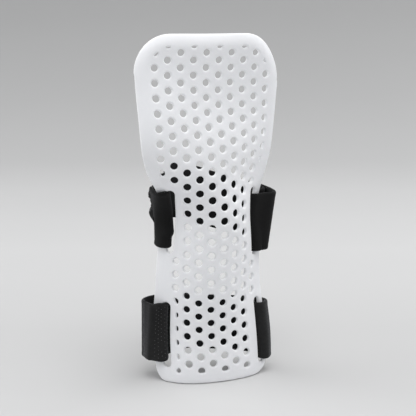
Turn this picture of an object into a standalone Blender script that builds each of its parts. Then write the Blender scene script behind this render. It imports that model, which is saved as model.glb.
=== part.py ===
"""Wrist and forearm splint: a rigid perforated shell with two hook-and-loop straps.

Frame: metres, +Z up the forearm towards the fingers, +X to the wearer's side that
lies right when the outer (convex) face is looked at, -Y out of the convex face.
The origin is the middle of the sheet's thickness on the shell's centre line, at the
flat proximal rim that the splint stands on.

The shell is developed from a flat pattern.  A point of the pattern has an arc
position s (mm, across the limb, + towards +X) and a height t (mm, along the limb).
STATIONS says how the sheet is bent at each height: where its centre line runs and
which way the sheet faces at seven arc positions.
"""
import math

import bmesh
import bpy
import numpy as np
from mathutils import Vector
from mathutils.geometry import delaunay_2d_cdt

# ---------------------------------------------------------------- driving sizes (mm)
MM = 0.001
HEIGHT = 221.0            # pattern height, proximal rim to finger edge
SHEET = 2.4               # shell thickness
PITCH = 9.0               # distance between neighbouring holes
HOLE_D = ((0, 4.5), (70, 4.5), (95, 4.7), (112, 4.9), (130, 4.9), (150, 4.5),
          (176, 4.2), (222, 4.1))   # hole diameter at each height, larger where the sheet is stretched
HOLE_SIDES = 8
TOP_ROW = 210.6           # height of the first full row of holes
STRAP_W = 38.0            # strap width
STRAP_T = 2.0             # strap thickness
TAB_W = 24.0              # hook tab width
TAB_T = 1.6               # hook tab thickness
SLOT_W = 5.6              # strap slot width
RIM_CURL = 9.0            # radius of the turned-back lip round the palm plate
LIP = 8.0                 # width of that lip

# arc positions (mm) at which the sheet's facing angle is given
ARC = (-42.0, -28.0, -14.0, 0.0, 14.0, 28.0, 46.0)
# height, centre line x, centre line y (mm), facing angle (degrees) at each arc position
STATIONS = (
    (0,    0.0,  0.0, (-60, -37, -11,   2, 12, 26, 48)),    # proximal rim
    (28,  -1.0,  2.0, (-42, -36, -20,   0, 12, 25, 49)),    # forearm strap
    (58,  -2.0,  0.0, (-54, -42, -32,  -3, 20, 35, 57)),    # mid forearm
    (88,  -2.0, -2.0, (-56, -47, -35,  -9, 21, 42, 65)),
    (110, -2.0, -4.0, (-68, -52, -33, -14, 25, 50, 60)),    # wrist, tightest gutter
    (131, -2.5, -6.0, (-46, -27, -12,   8, 28, 36, 39)),    # heel of the hand
    (152, -3.5, -5.5, (-10,  -2,   4,   9, 17, 28, 29)),    # palm, nearly flat
    (176, -5.0, -1.5, ( -8,   0,   8,  12,  9, 13, 26)),
    (200, -5.5, -1.0, ( -3,  -1,  -2,   4,  7,  9, 22)),
    (222, -4.5, -3.5, (-12,  -8,  -3,   0,  2, 12, 38)),    # finger edge
)
# side edges of the pattern: (height, arc position)
LEFT_EDGE = ((0, -39.3), (12, -39.5), (50, -39.5), (66, -39.0), (82, -38.3), (98, -37.2),
             (110, -36.1), (120, -35.4), (126, -35.9), (130, -37.2), (136, -39.5), (143, -41.3), (151, -42.3),
             (162, -42.7), (186, -42.7), (222, -43.2))
RIGHT_EDGE = ((0, 41.2), (12, 41.6), (50, 43.2), (90, 43.6), (112, 43.6), (128, 43.9),
              (134, 44.7), (141, 46.1), (148, 47.5), (158, 48.2), (176, 49.0), (222, 49.0))
# corners: (arc radius, height radius)
CORNER_TOP_LEFT = (20.0, 22.5)
CORNER_TOP_RIGHT = (24.0, 28.0)
CORNER_LOW_LEFT = (8.5, 9.5)
CORNER_LOW_RIGHT = (14.0, 10.0)
# strap slots: centre line from (s, t) to (s, t), round ends included
SLOTS = {
    "wrist_left": ((-28.2, 84.5), (-26.65, 127.6)),
    "wrist_right": ((34.2, 81.0), (34.2, 125.5)),
    "forearm_left": ((-30.3, 9.5), (-30.25, 52.3)),
    "forearm_right": ((35.7, 7.5), (35.7, 51.5)),
}
SLOT_MARGIN = {"wrist_left": 4.3, "wrist_right": 4.3, "forearm_left": 4.9, "forearm_right": 4.3}   # solid band kept round each slot


# ---------------------------------------------------------------- smooth interpolation
def spline_moments(k, v, level_start):
    n = len(k)
    a = np.zeros((n, n))
    r = np.zeros((n, v.shape[1]))
    h = np.diff(k)
    a[0, 0] = a[-1, -1] = 1.0
    for i in range(1, n - 1):
        a[i, i - 1], a[i, i], a[i, i + 1] = h[i - 1], 2 * (h[i - 1] + h[i]), h[i]
        r[i] = 6 * ((v[i + 1] - v[i]) / h[i] - (v[i] - v[i - 1]) / h[i - 1])
    if level_start:
        a[0, 0], a[0, 1] = 2 * h[0], h[0]
        r[0] = 6 * (v[1] - v[0]) / h[0]
    return np.linalg.solve(a, r)


def spline(k, v, m, q):
    q = np.asarray(q, float)
    i = np.clip(np.searchsorted(k, q, side="right") - 1, 0, len(k) - 2)
    h = k[i + 1] - k[i]
    a = ((k[i + 1] - q) / h)[..., None]
    b = ((q - k[i]) / h)[..., None]
    h = h[..., None]
    return a * v[i] + b * v[i + 1] + ((a**3 - a) * m[i] + (b**3 - b) * m[i + 1]) * h * h / 6


T_KNOT = np.array([s[0] for s in STATIONS], float)
T_VAL = np.array([[s[1], s[2], *s[3]] for s in STATIONS], float)
T_MOM = spline_moments(T_KNOT, T_VAL, True)
S_KNOT = np.array(ARC)
S_EYE = np.eye(len(S_KNOT))
S_MOM = spline_moments(S_KNOT, S_EYE, False)
GAUSS_X, GAUSS_W = np.polynomial.legendre.leggauss(12)
Z_AT = np.linspace(-4, 232, 473)
_slope = np.gradient(spline(T_KNOT, T_VAL, T_MOM, Z_AT)[:, :2], Z_AT, axis=0)
_dz = np.sqrt(1 - (_slope**2).sum(1))
Z_OF = np.concatenate([[0], np.cumsum((_dz[1:] + _dz[:-1]) / 2 * np.diff(Z_AT))])
Z_OF -= np.interp(0, Z_AT, Z_OF)


def bare_surface(s, t):
    """Middle of the sheet, before the lip is turned back.  Arrays in, (..., 3) out, mm."""
    s, t = np.asarray(s, float), np.asarray(t, float)
    c = spline(T_KNOT, T_VAL, T_MOM, t)
    u = np.clip((GAUSS_X + 1) / 2 * s[..., None], S_KNOT[0], S_KNOT[-1])
    phi = np.radians(np.einsum("...gk,...k->...g", spline(S_KNOT, S_EYE, S_MOM, u), c[..., 2:]))
    w = GAUSS_W / 2 * s[..., None]
    x = c[..., 0] + (np.cos(phi) * w).sum(-1)
    y = c[..., 1] + (np.sin(phi) * w).sum(-1)
    return np.stack([x, y, np.interp(t, Z_AT, Z_OF)], -1)


def outward(s, t):
    """Unit normal out of the convex face."""
    s, t = np.asarray(s, float), np.asarray(t, float)
    h = 0.4
    n = np.cross(bare_surface(s + h, t) - bare_surface(s - h, t),
                 bare_surface(s, t + h) - bare_surface(s, t - h))
    return n / np.linalg.norm(n, axis=-1, keepdims=True)


# ---------------------------------------------------------------- flat pattern
def side(table, t):
    k = np.array([p[0] for p in table], float)
    v = np.array([[p[1]] for p in table], float)
    return spline(k, v, spline_moments(k, v, False), t)[..., 0]


def arc_points(cs, ct, rs, rt, a0, a1, n):
    return [(cs + rs * math.cos(math.radians(a)), ct + rt * math.sin(math.radians(a)))
            for a in np.linspace(a0, a1, n)]


def outline():
    """Closed outline of the pattern, anticlockwise, from the proximal rim."""
    pts = []
    rs, rt = CORNER_LOW_RIGHT
    low_r = float(side(RIGHT_EDGE, rt))
    pts += arc_points(low_r - rs, rt, rs, rt, -90, 0, 8)
    top_s, top_t = CORNER_TOP_RIGHT
    for t in np.arange(rt + 6, HEIGHT - top_t - 2, 6.0):
        pts.append((float(side(RIGHT_EDGE, t)), t))
    pts += arc_points(49.0 - top_s, HEIGHT - top_t, top_s, top_t, 0, 90, 10)
    top_s2, top_t2 = CORNER_TOP_LEFT
    for s in np.arange(49.0 - top_s - 7, -43.2 + top_s2 + 3, -7.0):
        pts.append((s, HEIGHT))
    pts += arc_points(-43.2 + top_s2, HEIGHT - top_t2, top_s2, top_t2, 90, 180, 9)
    rs, rt = CORNER_LOW_LEFT
    for t in np.arange(HEIGHT - top_t2 - 6, rt + 2, -6.0):
        pts.append((float(side(LEFT_EDGE, t)), t))
    low_l = float(side(LEFT_EDGE, rt))
    pts += arc_points(low_l + rs, rt, rs, rt, 180, 270, 7)
    a, b = pts[-1], pts[0]
    for i in range(1, 9):
        pts.append((a[0] + (b[0] - a[0]) * i / 9, 0.0))
    return np.array(pts)


OUTLINE = outline()


def nearest_on_ring(p, ring):
    a = ring
    b = np.roll(ring, -1, axis=0)
    d = b - a
    u = np.clip(((p - a) * d).sum(1) / (d * d).sum(1), 0, 1)
    q = a + d * u[:, None]
    i = int(np.argmin(((q - p) ** 2).sum(1)))
    return q[i], math.hypot(*(q[i] - p))


def edge_distance(s, t):
    """Distance of pattern points from the outline (array)."""
    p = np.stack([np.asarray(s, float), np.asarray(t, float)], -1)
    a = OUTLINE
    d = np.roll(a, -1, axis=0) - a
    rel = p[..., None, :] - a
    u = np.clip((rel * d).sum(-1) / (d * d).sum(-1), 0, 1)
    q = rel - d * u[..., None]
    return np.sqrt((q * q).sum(-1)).min(-1)


def lip(s, t):
    """How far the lip round the palm plate is turned back, mm along the inward normal."""
    t = np.asarray(t, float)
    e = np.clip(LIP - edge_distance(s, t), 0, LIP)
    strength = np.clip((t - 132) / 30, 0, 1)
    strength = strength * strength * (3 - 2 * strength)
    along_top = np.clip((t - 196) / 22, 0, 1)
    return e * e / (2 * RIM_CURL) * strength * (0.55 + 0.45 * along_top)


def sheet_mid(s, t):
    return bare_surface(s, t) - outward(s, t) * lip(s, t)[..., None]


def capsule(p, q, r, n):
    p, q = np.array(p), np.array(q)
    axis = (q - p) / np.linalg.norm(q - p)
    a0 = math.atan2(axis[1], axis[0])
    p, q = p + axis * r, q - axis * r
    pts = [q + r * np.array([math.cos(a0 + a), math.sin(a0 + a)])
           for a in np.linspace(-math.pi / 2, math.pi / 2, n)]
    length = np.linalg.norm(q - p)
    m = int(length // 6)
    left = [pts[-1] - axis * length * i / m for i in range(1, m)]
    pts2 = [p + r * np.array([math.cos(a0 + a), math.sin(a0 + a)])
            for a in np.linspace(math.pi / 2, 3 * math.pi / 2, n)]
    right = [pts2[-1] + axis * length * i / m for i in range(1, m)]
    return np.array(pts + left + pts2 + right)


def clip_half_plane(poly, point, normal):
    out = []
    for i in range(len(poly)):
        a, b = poly[i], poly[(i + 1) % len(poly)]
        da, db = np.dot(a - point, normal), np.dot(b - point, normal)
        if da >= 0:
            out.append(a)
        if (da >= 0) != (db >= 0):
            out.append(a + (b - a) * da / (da - db))
    return out


def area(poly):
    p = np.array(poly)
    q = np.roll(p, -1, axis=0)
    return 0.5 * float((p[:, 0] * q[:, 1] - q[:, 0] * p[:, 1]).sum())


def inside(p, poly):
    q = np.roll(poly, -1, axis=0)
    hit = ((poly[:, 1] > p[1]) != (q[:, 1] > p[1]))
    x = poly[:, 0] + (p[1] - poly[:, 1]) * (q[:, 0] - poly[:, 0]) / np.where(q[:, 1] == poly[:, 1], 1, q[:, 1] - poly[:, 1])
    return bool((hit & (p[0] < x)).sum() % 2)


def margin(q):
    """Solid border kept along the outline at the outline point q."""
    s, t = q
    if t > HEIGHT - 4 and -25 < s < 26:
        return 6.6 if s > -20 else 7.0
    if t > 192:
        return 7.4 if s > 24 else 7.9
    if t < 4:
        return 6.9
    if s > 0:
        return 8.6 if t > 25 else 9.1
    return 8.0 if t > 120 else 9.6


def holes():
    """Every hole of the hexagonal grid, trimmed to the solid borders."""
    column = PITCH * math.sqrt(3) / 2
    found = []
    for k in range(-1, 11):
        s = (k - 4) * column
        for j in range(-2, 26):
            t = TOP_ROW - PITCH * (j + (0.5 if k % 2 else 0.0))
            c = np.array([s, t])
            r = float(np.interp(t, [h[0] for h in HOLE_D], [h[1] for h in HOLE_D])) / 2
            if not inside(c, OUTLINE):
                continue
            if s < -30 and t < 120:
                continue
            poly = [c + r * np.array([math.cos(a), math.sin(a)])
                    for a in (np.arange(HOLE_SIDES) + 0.5) * 2 * math.pi / HOLE_SIDES]
            q, d = nearest_on_ring(c, OUTLINE)
            n = (c - q) / d
            keep = margin(q)
            if d < keep + r:
                poly = clip_half_plane(poly, q + n * keep, n)
            for name, (p0, p1) in SLOTS.items():
                ring, band = capsule(p0, p1, SLOT_W / 2, 7), SLOT_MARGIN[name]
                if inside(c, ring):
                    poly = []
                    break
                q, d = nearest_on_ring(c, ring)
                if d < band + r and len(poly) > 2:
                    n = (c - q) / d
                    poly = clip_half_plane(poly, q + n * band, n)
            if len(poly) < 3 or area(poly) < 1.2:
                continue
            clean = [p for i, p in enumerate(poly) if np.linalg.norm(p - poly[i - 1]) > 0.25]
            if len(clean) > 2:
                found.append(np.array(clean))
    return found


# ---------------------------------------------------------------- Blender helpers
for ob in list(bpy.data.objects):
    bpy.data.objects.remove(ob, do_unlink=True)
parts = bpy.data.collections.new("wrist_splint")
bpy.context.scene.collection.children.link(parts)


def material(name, colour, rough, sheen=0.0):
    m = bpy.data.materials.new(name)
    m.use_nodes = True
    b = m.node_tree.nodes["Principled BSDF"]
    b.inputs["Base Color"].default_value = (*colour, 1)
    b.inputs["Roughness"].default_value = rough
    b.inputs["Metallic"].default_value = 0.0
    b.inputs["Sheen Weight"].default_value = sheen
    return m


def mesh_object(name, bm, mat, origin=(0, 0, 0)):
    for v in bm.verts:
        v.co -= Vector(origin)
    me = bpy.data.meshes.new(name)
    bm.to_mesh(me)
    bm.free()
    me.materials.append(mat)
    ob = bpy.data.objects.new(name, me)
    ob.location = origin
    parts.objects.link(ob)
    return ob


def solidify(ob, thickness):
    md = ob.modifiers.new("thickness", "SOLIDIFY")
    md.thickness = thickness * MM
    md.offset = 0.0
    md.use_even_offset = False
    md.use_rim = True
    return md


# ---------------------------------------------------------------- shell
def build_shell():
    rings = [OUTLINE]
    rings += [capsule(a, b, SLOT_W / 2, 7) for a, b in SLOTS.values()]
    rings += holes()
    verts, edges = [], []
    for ring in rings:
        n0 = len(verts)
        verts += [tuple(p) for p in ring]
        edges += [(n0 + i, n0 + (i + 1) % len(ring)) for i in range(len(ring))]
    cuts = rings[1:]
    boxes = np.array([[*r.min(0), *r.max(0)] for r in cuts])
    # a row of points along the solid border keeps its triangles even
    border = []
    for i in range(0, len(OUTLINE)):
        p = OUTLINE[i]
        nxt, prv = OUTLINE[(i + 1) % len(OUTLINE)], OUTLINE[i - 1]
        d = nxt - prv
        n = np.array([-d[1], d[0]]) / np.linalg.norm(d)
        for off in (3.4,):
            c = p + n * off
            near = min(nearest_on_ring(c, r)[1] for r in cuts if np.linalg.norm(r.mean(0) - c) < 40)
            if near > 1.5 and inside(c, OUTLINE) and not any(inside(c, r) for r in cuts[:4]):
                border.append(tuple(c))
    verts += border
    co, _, faces, _, _, _ = delaunay_2d_cdt([Vector(v) for v in verts], edges, [], 0, 1e-5)
    co = np.array([[v.x, v.y] for v in co])
    keep = []
    for f in faces:
        c = co[list(f)].mean(0)
        if not inside(c, OUTLINE):
            continue
        near = np.where((boxes[:, 0] < c[0]) & (boxes[:, 2] > c[0]) & (boxes[:, 1] < c[1]) & (boxes[:, 3] > c[1]))[0]
        if any(inside(c, cuts[i]) for i in near):
            continue
        keep.append(f)
    world = sheet_mid(co[:, 0], co[:, 1]) * MM
    bm = bmesh.new()
    bv = [bm.verts.new(p) for p in world]
    for f in keep:
        bm.faces.new([bv[i] for i in f])
    for v in [v for v in bm.verts if not v.link_faces]:
        bm.verts.remove(v)
    bmesh.ops.recalc_face_normals(bm, faces=bm.faces)
    ref = outward(0.0, 100.0)
    test = min(bm.faces, key=lambda f: (f.calc_center_median() - Vector(sheet_mid(0.0, 100.0) * MM)).length)
    if test.normal.dot(Vector(ref)) < 0:
        bmesh.ops.reverse_faces(bm, faces=bm.faces)
    ob = mesh_object("splint_shell", bm, WHITE)
    solidify(ob, SHEET)
    # fix the thickness, then bring the proximal rim to one plane
    dg = bpy.context.evaluated_depsgraph_get()
    me = bpy.data.meshes.new_from_object(ob.evaluated_get(dg), depsgraph=dg)
    ob.modifiers.clear()
    ob.data = me
    for v in me.vertices:
        if abs(v.co.z) < 0.35 * MM:
            v.co.z = 0.0
    me.shade_smooth()
    me.set_sharp_from_angle(angle=math.radians(40))
    return ob


# ---------------------------------------------------------------- straps
def strap_grid(route, rows, width, step):
    """Points of a strap: one smooth path for each row across its width.

    route entries: ("near", s, n, height) rides n mm off the shell at arc position s;
    (slot name, ds, n, height) does so at ds from that slot's centre line, and
    ("left_edge" or "right_edge", ds, n, height) at ds from that edge of the shell;
    ("free", x, y, height, lean) is a free point, lean = mm of x per mm up the width;
    ("bent", x, y, height, (lean, bow) in x, (lean, bow) in y) also bows with height.
    """
    grid = []
    for v in np.linspace(-width / 2, width / 2, rows):
        pts = []
        for kind, *a in route:
            if kind == "bent":
                x, y, h, (lx, bx), (ly, by) = a
                pts.append([x + lx * v + bx * v * v, y + ly * v + by * v * v, h + v])
            elif kind != "free":
                s, n, h = a
                t = h + v
                if kind == "left_edge":
                    s += float(side(LEFT_EDGE, t))
                if kind == "right_edge":
                    s += float(side(RIGHT_EDGE, t))
                if kind in SLOTS:
                    (s0, t0), (s1, t1) = SLOTS[kind]
                    s += s0 + (s1 - s0) * (t - t0) / (t1 - t0)
                p, out = bare_surface(s, t), outward(s, t)
                level = out[:2] / (out[0] ** 2 + out[1] ** 2)     # keeps n at this height
                pts.append([p[0] + level[0] * n, p[1] + level[1] * n, h + v])
            else:
                x, y, h, lean = a
                pts.append([x + lean * v, y, h + v])
        grid.append(np.array(pts))
    grid = np.array(grid)
    mid = grid[len(grid) // 2]
    chord = np.concatenate([[0], np.cumsum(np.linalg.norm(np.diff(mid, axis=0), axis=1))])
    n = max(2, int(round(chord[-1] / step)))
    q = np.linspace(0, chord[-1], n + 1)
    out = []
    for row in grid:
        m = spline_moments(chord, row, False)
        out.append(spline(chord, row, m, q))
    return np.array(out)


def strap_object(name, grid, thickness, mat, origin=(0, 0, 0), round_end=0.0):
    """A ribbon: the grid of points as an open surface, thickened about its middle."""
    bm = bmesh.new()
    rows, cols = grid.shape[:2]
    v = [[bm.verts.new(grid[r, c] * MM) for c in range(cols)] for r in range(rows)]
    for r in range(rows - 1):
        for c in range(cols - 1):
            bm.faces.new([v[r][c], v[r][c + 1], v[r + 1][c + 1], v[r + 1][c]])
    ob = mesh_object(name, bm, mat, origin)
    solidify(ob, thickness)
    return ob


def patch(grid, c0, c1, r0, r1, lift):
    """Part of a strap's grid, lifted off its face by lift mm."""
    g = grid
    du = np.gradient(g, axis=1)
    dv = np.gradient(g, axis=0)
    n = np.cross(du, dv)
    n /= np.linalg.norm(n, axis=-1, keepdims=True)
    return (g + n * lift)[r0:r1, c0:c1]


def stitch_object(name, grid, mat, origin=(0, 0, 0), line=0.9, thickness=0.5):
    """A closed rectangle of thread lying on a strap: a frame-shaped surface, thickened."""
    bm = bmesh.new()
    rows, cols = grid.shape[:2]
    outer, inner = [], []
    ring = ([(0, c) for c in range(cols)] + [(r, cols - 1) for r in range(1, rows)]
            + [(rows - 1, c) for c in range(cols - 2, -1, -1)] + [(r, 0) for r in range(rows - 2, 0, -1)])
    centre = grid[rows // 2, cols // 2]
    for r, c in ring:
        p = grid[r, c]
        dr = 1 if r == 0 else (-1 if r == rows - 1 else 0)
        dc = 1 if c == 0 else (-1 if c == cols - 1 else 0)
        q = p.copy()
        if dr:
            d = grid[r + dr, c] - p
            q = q + d / np.linalg.norm(d) * line
        if dc:
            d = grid[r, c + dc] - p
            q = q + d / np.linalg.norm(d) * line
        outer.append(bm.verts.new(p * MM))
        inner.append(bm.verts.new(q * MM))
    n = len(ring)
    for i in range(n):
        j = (i + 1) % n
        bm.faces.new([outer[i], outer[j], inner[j], inner[i]])
    ob = mesh_object(name, bm, mat, origin)
    solidify(ob, thickness)
    return ob


WHITE = material("shell_plastic", (0.84, 0.84, 0.86), 0.5)
BLACK_LOOP = material("strap_loop_fabric", (0.018, 0.018, 0.019), 0.9, 0.3)
BLACK_HOOK = material("hook_tape", (0.028, 0.028, 0.030), 0.7)
THREAD = material("thread", (0.02, 0.02, 0.022), 0.8)

# centre heights of the straps where they pass the left and right slots
WL, WR = 106.4, 101.6
FL, FR = 32.3, 28.6

# wrist strap: sewn anchor end inside the right, out through the right slot, round a
# slack loop, across the back, in at the left slot from behind and round the left strip
WRIST_ROUTE = (
    ("free", 33.4, 43.4, 102.4, 0.08), ("free", 37.6, 38.4, 102.0, 0.10),
    ("free", 38.9, 33.0, 101.6, 0.12), ("free", 36.4, 27.4, WR, 0.10),
    ("near", 44.5, -4.6, WR), ("near", 40.2, -4.0, WR), ("near", 36.9, -3.5, WR),
    ("near", 34.9, -2.0, WR), ("near", 34.3, 0.0, WR), ("near", 34.9, 2.0, WR),
    ("near", 36.9, 3.6, WR),
    ("free", 35.2, 12.4, WR, 0.06), ("free", 39.7, 13.6, WR, 0.12),
    ("free", 41.5, 17.0, WR, 0.14), ("free", 42.0, 24.0, WR, 0.14),
    ("free", 41.9, 33.0, 101.6, 0.12), ("free", 38.6, 42.0, 102.4, 0.08),
    ("bent", 30.0, 49.0, 104.0, (0.03, 0.0), (0.06, 0.0)),
    ("bent", 18.0, 52.4, 107.8, (0.0, 0.0), (0.18, 0.0)),
    ("bent", 5.0, 53.0, 112.4, (0.0, 0.0), (0.26, 0.0)),
    ("bent", -8.0, 51.4, 116.2, (0.0, 0.0), (0.26, 0.0)),
    ("bent", -17.6, 46.8, 117.2, (0.0, 0.0), (0.16, 0.0)), ("free", -23.4, 39.6, 115.0, 0.0),
    ("free", -25.2, 31.0, 110.8, 0.0),
    ("wrist_left", -10.0, -4.8, 107.0), ("wrist_left", -6.2, -4.4, WL),
    ("wrist_left", -2.6, -3.8, WL), ("wrist_left", -0.5, -2.1, WL), ("wrist_left", 0.2, 0.0, WL),
    ("wrist_left", -0.5, 2.1, WL), ("wrist_left", -2.6, 3.5, WL),
    ("bent", -33.6, 17.0, WL, (-0.1030, -0.0062), (-0.3370, -0.0144)),
    ("bent", -33.9, 21.2, WL, (-0.1130, -0.0057), (-0.1450, -0.0045)),
)
# its hook tab: starts behind the left strip and lies back along the strap
WRIST_TAB_ROUTE = (
    ("free", -34.9, 24.4, 113.2, -0.05), ("free", -35.6, 29.2, 114.2, -0.03),
    ("free", -34.5, 35.2, 115.0, 0.0), ("free", -29.6, 43.3, 116.6, 0.0),
    ("bent", -21.8, 50.3, 117.4, (0.0, 0.0), (0.14, 0.0)),
    ("bent", -12.4, 54.4, 117.4, (0.0, 0.0), (0.24, 0.0)),
)
FOREARM_ROUTE = (
    ("free", 20.5, 27.4, 29.0, 0.0), ("free", 26.0, 25.6, 28.8, 0.0), ("free", 30.6, 22.6, 28.7, 0.0),
    ("near", 41.5, -5.2, FR), ("near", 38.6, -4.0, FR),
    ("near", 36.6, -2.3, FR), ("near", 35.8, 0.0, FR), ("near", 36.4, 2.1, FR),
    ("near", 38.6, 3.5, FR), ("right_edge", -1.2, 3.4, FR),
    ("right_edge", 2.5, 1.9, FR), ("right_edge", 4.1, -1.6, FR), ("right_edge", 2.8, -6.6, FR),
    ("free", 32.6, 26.2, 28.5, 0.0), ("free", 24.0, 30.0, 28.6, 0.0), ("free", 12.0, 31.8, 29.3, 0.0),
    ("free", -2.0, 32.2, 30.6, 0.0), ("free", -13.0, 30.4, 32.2, 0.0), ("free", -20.4, 26.0, FL, 0.0),
    ("near", -36.0, -6.4, FL), ("near", -33.0, -3.9, FL), ("near", -31.2, -2.2, FL),
    ("near", -30.3, 0.0, FL), ("near", -31.0, 2.1, FL), ("near", -33.2, 3.5, FL),
    ("free", -38.4, 12.8, FL, 0.05), ("free", -39.5, 14.0, FL, 0.06), ("free", -41.9, 19.2, FL, 0.0),
)
FOREARM_TAB_ROUTE = (
    ("free", -42.7, 22.2, FL, 0.0), ("free", -41.4, 26.4, FL, 0.0), ("free", -36.6, 30.0, FL, 0.0),
    ("free", -27.4, 33.8, FL, 0.0), ("free", -16.0, 36.0, 32.0, 0.0), ("free", -5.0, 36.6, 31.2, 0.0),
)

shell = build_shell()

ROWS = 7
wrist_grid = strap_grid(WRIST_ROUTE, ROWS, STRAP_W, 2.6)
wrist_strap = strap_object("wrist_strap", wrist_grid, STRAP_T, BLACK_LOOP)
forearm_grid = strap_grid(FOREARM_ROUTE, ROWS, STRAP_W, 2.4)
forearm_strap = strap_object("forearm_strap", forearm_grid, STRAP_T, BLACK_LOOP)

# each tab's origin is on the line it peels about
WRIST_HINGE = (-35.7, 23.1, 113.2)
FOREARM_HINGE = (-43.3, 20.9, 32.3)
wrist_tab_grid = strap_grid(WRIST_TAB_ROUTE, 5, TAB_W, 3.0)
wrist_tab = strap_object("wrist_hook_tab", wrist_tab_grid, TAB_T, BLACK_HOOK,
                         origin=tuple(c * MM for c in WRIST_HINGE))
forearm_tab_grid = strap_grid(FOREARM_TAB_ROUTE, 5, STRAP_W, 3.0)
forearm_tab = strap_object("forearm_hook_tab", forearm_tab_grid, TAB_T, BLACK_HOOK,
                           origin=tuple(c * MM for c in FOREARM_HINGE))

# thread: a box stitch where each anchor end is sewn to its strap, and where each hook
# tab is sewn, laid on the faces that look away from the limb
LIMB_AXIS = np.array([2.0, 14.0])


def column_near(grid, x, y, last_half=False):
    row = grid[len(grid) // 2]
    d = np.hypot(row[:, 0] - x, row[:, 1] - y)
    if last_half:
        d[:14] = 99.0
    return int(np.argmin(d))


def box_stitch(name, grid, c0, c1, lift, origin=(0, 0, 0)):
    c0, c1 = min(c0, c1), max(c0, c1)
    both = [patch(grid, c0, c1 + 1, 1, grid.shape[0] - 1, side_of) for side_of in (lift, -lift)]
    far = [np.linalg.norm(g[..., :2].reshape(-1, 2).mean(0) - LIMB_AXIS) for g in both]
    return stitch_object(name, both[int(np.argmax(far))], THREAD, origin)


LIFT_STRAP = STRAP_T / 2 + 0.3 + 0.25
LIFT_TAB = TAB_T / 2 + 0.3 + 0.25
box_stitch("wrist_anchor_stitching", wrist_grid, column_near(wrist_grid, 42.2, 32.6, True),
           column_near(wrist_grid, 37.4, 43.6, True), LIFT_STRAP)
box_stitch("forearm_anchor_stitching", forearm_grid, column_near(forearm_grid, 29.6, 27.8, True),
           column_near(forearm_grid, 19.4, 30.9, True), LIFT_STRAP)
box_stitch("wrist_tab_stitching", wrist_tab_grid, 1, 5, LIFT_TAB,
           origin=tuple(c * MM for c in WRIST_HINGE))
box_stitch("forearm_tab_stitching", forearm_tab_grid, 2, 6, LIFT_TAB,
           origin=tuple(c * MM for c in FOREARM_HINGE))

for ob in parts.objects:
    if ob.name != "splint_shell":
        ob.data.shade_smooth()
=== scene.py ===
"""Visual model of the wrist splint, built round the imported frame.

The shell is developed from the same flat pattern as the CAD model, with rounded holes,
slots and rims.  The straps and tabs are ribbons along the CAD routes, with rounded
selvages, cut ends, hooks and thread.
"""
import math
import random

import bmesh
import bpy
import numpy as np
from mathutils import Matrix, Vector
from mathutils.geometry import delaunay_2d_cdt


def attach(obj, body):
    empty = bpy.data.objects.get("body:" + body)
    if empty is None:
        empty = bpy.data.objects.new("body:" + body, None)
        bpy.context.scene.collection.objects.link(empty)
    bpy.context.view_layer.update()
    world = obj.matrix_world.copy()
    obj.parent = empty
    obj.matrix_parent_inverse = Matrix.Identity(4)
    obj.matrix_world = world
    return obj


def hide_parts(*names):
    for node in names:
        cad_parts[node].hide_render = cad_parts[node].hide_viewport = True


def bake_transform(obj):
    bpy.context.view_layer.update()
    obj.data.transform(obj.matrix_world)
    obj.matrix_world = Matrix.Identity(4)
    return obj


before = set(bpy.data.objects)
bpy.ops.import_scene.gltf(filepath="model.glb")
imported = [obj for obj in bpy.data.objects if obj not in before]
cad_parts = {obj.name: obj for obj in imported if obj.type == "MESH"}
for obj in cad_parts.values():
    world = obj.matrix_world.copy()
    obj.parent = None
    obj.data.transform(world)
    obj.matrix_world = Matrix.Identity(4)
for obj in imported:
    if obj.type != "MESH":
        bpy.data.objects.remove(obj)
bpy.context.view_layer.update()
rng = np.random.default_rng(7)

# ---------------------------------------------------------------- driving sizes (mm)
MM = 0.001
HEIGHT = 221.0            # pattern height, proximal rim to finger edge
SHEET = 2.4               # shell thickness
PITCH = 9.0               # distance between neighbouring holes
HOLE_D = ((0, 4.5), (70, 4.5), (95, 4.7), (112, 4.9), (130, 4.9), (150, 4.5),
          (176, 4.2), (222, 4.1))   # hole diameter at each height, larger where the sheet is stretched
HOLE_SIDES = 8
FINE_SIDES = 32
TOP_ROW = 210.6           # height of the first full row of holes
STRAP_W = 38.0            # strap width
STRAP_T = 2.0             # strap thickness
TAB_W = 24.0              # hook tab width
TAB_T = 1.6               # hook tab thickness
SLOT_W = 5.6              # strap slot width
RIM_CURL = 9.0            # radius of the turned-back lip round the palm plate
LIP = 8.0                 # width of that lip

# arc positions (mm) at which the sheet's facing angle is given
ARC = (-42.0, -28.0, -14.0, 0.0, 14.0, 28.0, 46.0)
# height, centre line x, centre line y (mm), facing angle (degrees) at each arc position
STATIONS = (
    (0,    0.0,  0.0, (-60, -37, -11,   2, 12, 26, 48)),    # proximal rim
    (28,  -1.0,  2.0, (-42, -36, -20,   0, 12, 25, 49)),    # forearm strap
    (58,  -2.0,  0.0, (-54, -42, -32,  -3, 20, 35, 57)),    # mid forearm
    (88,  -2.0, -2.0, (-56, -47, -35,  -9, 21, 42, 65)),
    (110, -2.0, -4.0, (-68, -52, -33, -14, 25, 50, 60)),    # wrist, tightest gutter
    (131, -2.5, -6.0, (-46, -27, -12,   8, 28, 36, 39)),    # heel of the hand
    (152, -3.5, -5.5, (-10,  -2,   4,   9, 17, 28, 29)),    # palm, nearly flat
    (176, -5.0, -1.5, ( -8,   0,   8,  12,  9, 13, 26)),
    (200, -5.5, -1.0, ( -3,  -1,  -2,   4,  7,  9, 22)),
    (222, -4.5, -3.5, (-12,  -8,  -3,   0,  2, 12, 38)),    # finger edge
)
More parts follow.
